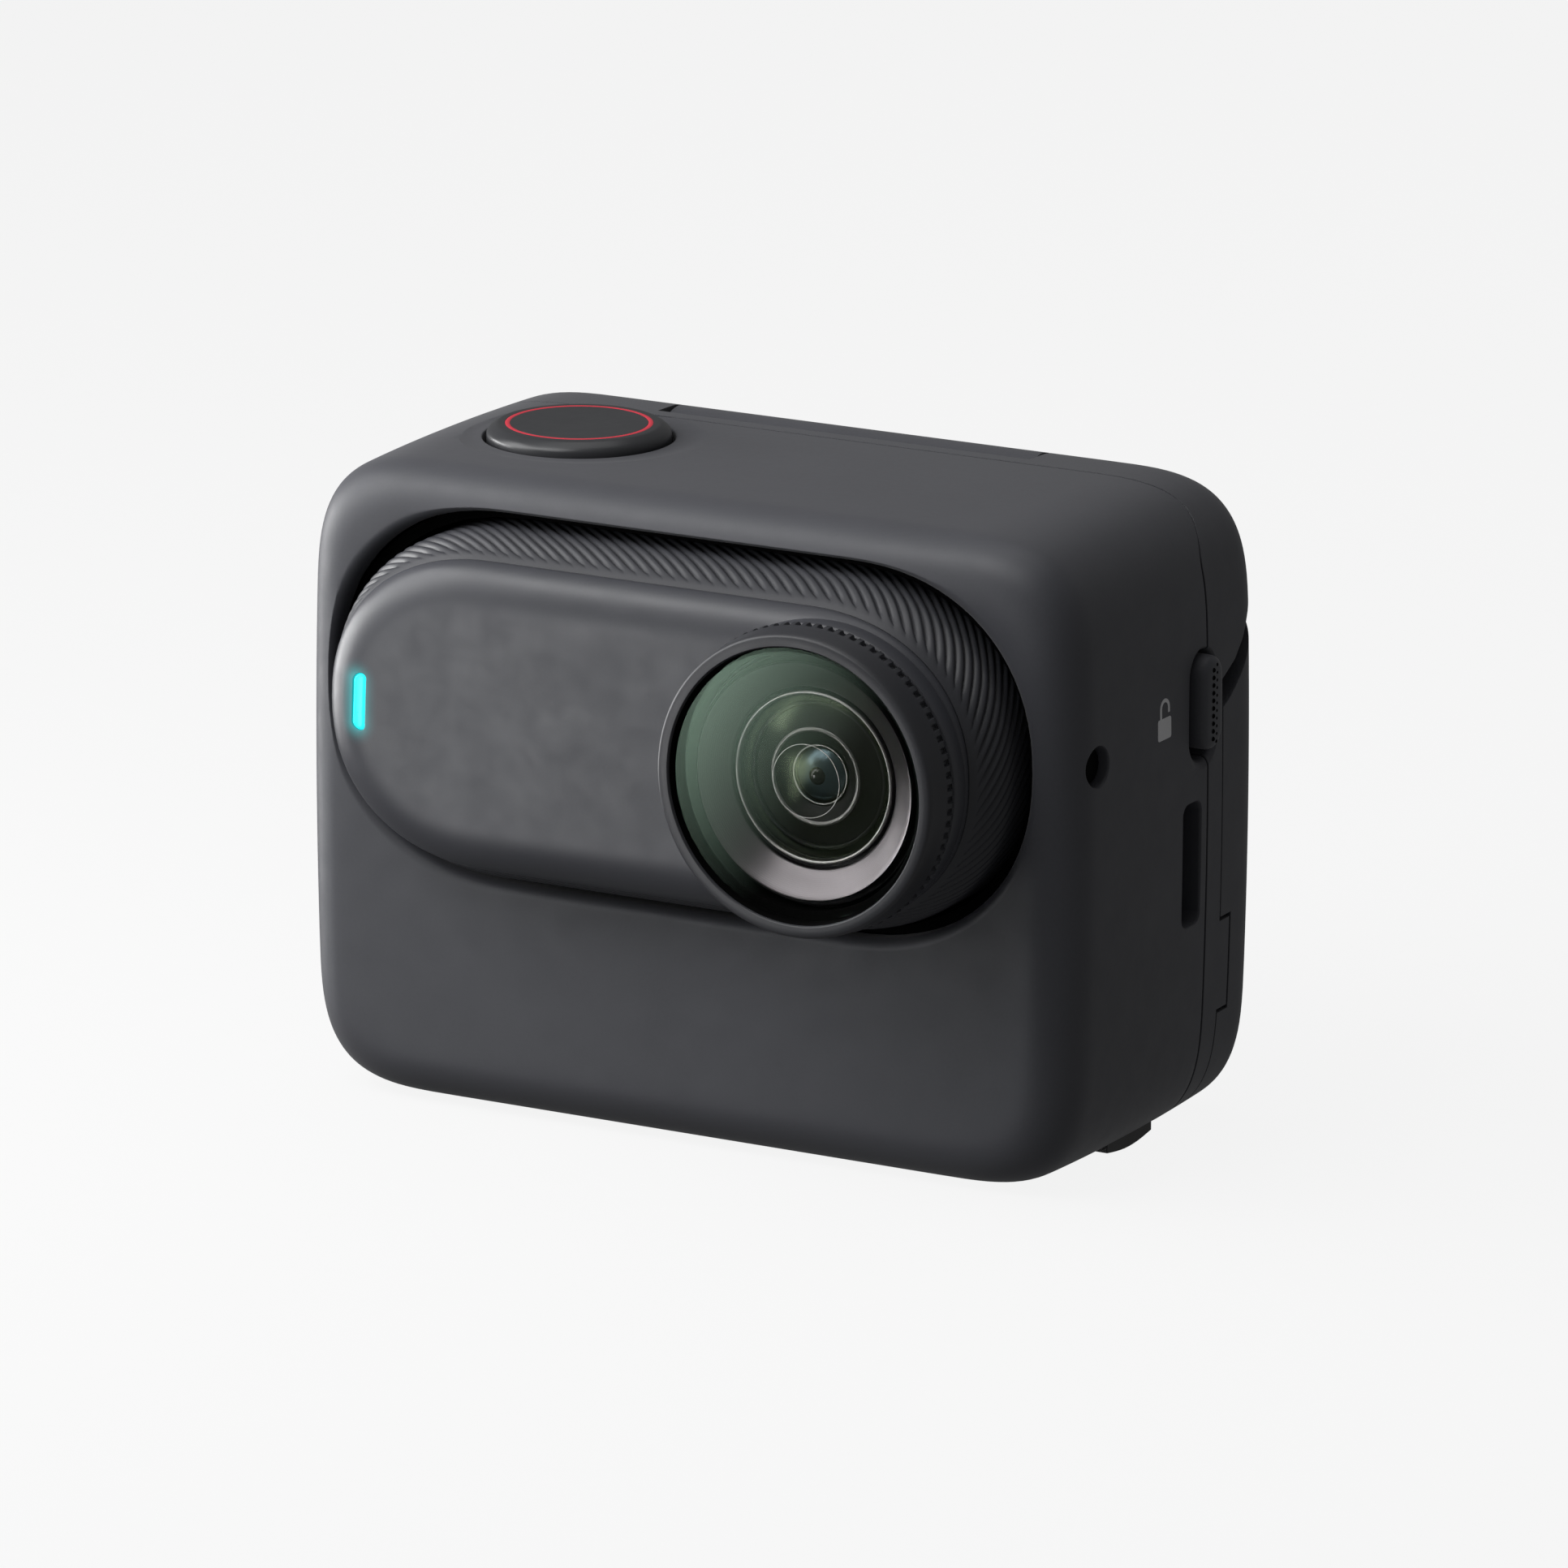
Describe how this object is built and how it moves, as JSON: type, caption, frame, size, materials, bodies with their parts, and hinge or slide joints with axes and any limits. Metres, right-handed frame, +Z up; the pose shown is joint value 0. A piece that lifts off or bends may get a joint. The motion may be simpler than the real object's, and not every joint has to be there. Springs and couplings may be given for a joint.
{
  "type": "modular action camera",
  "caption": "Pocket action camera: a pill-shaped camera latched in the front bay of a pod with a flip-up touchscreen, record button and release slide.",
  "frame": {"origin": "centre of the flat base plate's underside, below the middle of the pod's width and depth", "axes": "+X to the right seen from the lens side, the lens faces -Y, +Z up"},
  "size_m": [0.0646, 0.0394, 0.0485],
  "materials": {
    "housing": "fine soft-touch grain",
    "camera_shell": "satin",
    "black_plastic": "satin",
    "guard_black": "satin black",
    "bezel": "satin",
    "red": "satin",
    "light": "lit",
    "lens_glass": "coated",
    "black_glass": "gloss",
    "display": "gloss",
    "steel": "satin",
    "gold": "plated",
    "circuit_board": "solder mask",
    "battery": "wrapped foil"
  },
  "bodies": {
    "pod": {"pod_front_housing": "housing", "bay_liner": "black_plastic", "pod_rear_housing": "housing", "base_plate": "black_plastic", "base_latch_insert_right": "black_plastic", "base_latch_insert_left": "black_plastic", "base_magnet_left": "steel", "base_magnet_right": "steel", "pod_battery": "battery", "main_board": "circuit_board", "usb_shell": "steel", "usb_tongue": "black_plastic", "side_microphone": "black_plastic", "bay_contact_block": "gold", "bay_magnet_left": "steel", "bay_magnet_right": "steel", "shutter_dome_switch": "steel", "power_dome_switch": "steel", "quick_dome_switch": "steel", "speaker": "black_plastic", "hinge_clutch_left": "steel", "hinge_clutch_right": "steel", "housing_screw_lower_left": "steel", "housing_screw_lower_right": "steel", "housing_screw_upper_left": "steel", "housing_screw_upper_right": "steel", "latch_spring": "steel"},
    "flip_screen": {"screen_shell": "housing", "screen_glass": "black_glass", "display_panel": "display", "screen_board": "circuit_board", "hinge_shaft_left": "steel", "hinge_shaft_right": "steel"},
    "shutter_button": {"shutter_button": "black_plastic", "shutter_red_ring": "red"},
    "release_switch": {"release_knob": "housing", "latch_hook": "steel"},
    "power_button": {"power_button": "black_plastic"},
    "quick_button": {"quick_button": "black_plastic"},
    "camera": {"camera_tub": "camera_shell", "camera_cover": "camera_shell", "lens_barrel": "black_plastic", "lens_bezel_ring": "bezel", "lens_front_element": "lens_glass", "lens_inner_ring": "black_plastic", "lens_rear_element": "lens_glass", "lens_rear_group": "black_plastic", "image_sensor": "black_glass", "sensor_board": "circuit_board", "camera_battery": "battery", "camera_board": "circuit_board", "camera_contact_plate": "gold", "camera_magnet_left": "steel", "camera_magnet_right": "steel", "status_light_window": "light"},
    "lens_guard": {"guard_ring": "guard_black", "guard_glass": "lens_glass"}
  },
  "joints": [
    {"name": "camera_pull_out", "type": "slide", "parent": "pod", "child": "camera", "axis": [0, -1, 0], "range_m": [0, 0.03]},
    {"name": "lens_guard_twist", "type": "hinge", "parent": "camera", "child": "lens_guard", "pos_m": [0.0146, -0.023, 0.03095], "axis": [0, -1, 0], "range_deg": [0, 45]},
    {"name": "screen_flip", "type": "hinge", "parent": "pod", "child": "flip_screen", "pos_m": [0, 0.0117, 0.0433], "axis": [1, 0, 0], "range_deg": [0, 180]},
    {"name": "shutter_press", "type": "slide", "parent": "pod", "child": "shutter_button", "axis": [0, 0, -1], "range_m": [0, 0.0004], "stiffness_N_per_m": 1500},
    {"name": "release_slide", "type": "slide", "parent": "pod", "child": "release_switch", "axis": [0, 0, -1], "range_m": [0, 0.0006], "stiffness_N_per_m": 800, "deforming": ["latch_spring"]},
    {"name": "power_press", "type": "slide", "parent": "pod", "child": "power_button", "axis": [1, 0, 0], "range_m": [0, 0.0003], "stiffness_N_per_m": 1500},
    {"name": "quick_press", "type": "slide", "parent": "pod", "child": "quick_button", "axis": [1, 0, 0], "range_m": [0, 0.0003], "stiffness_N_per_m": 1500}
  ]
}
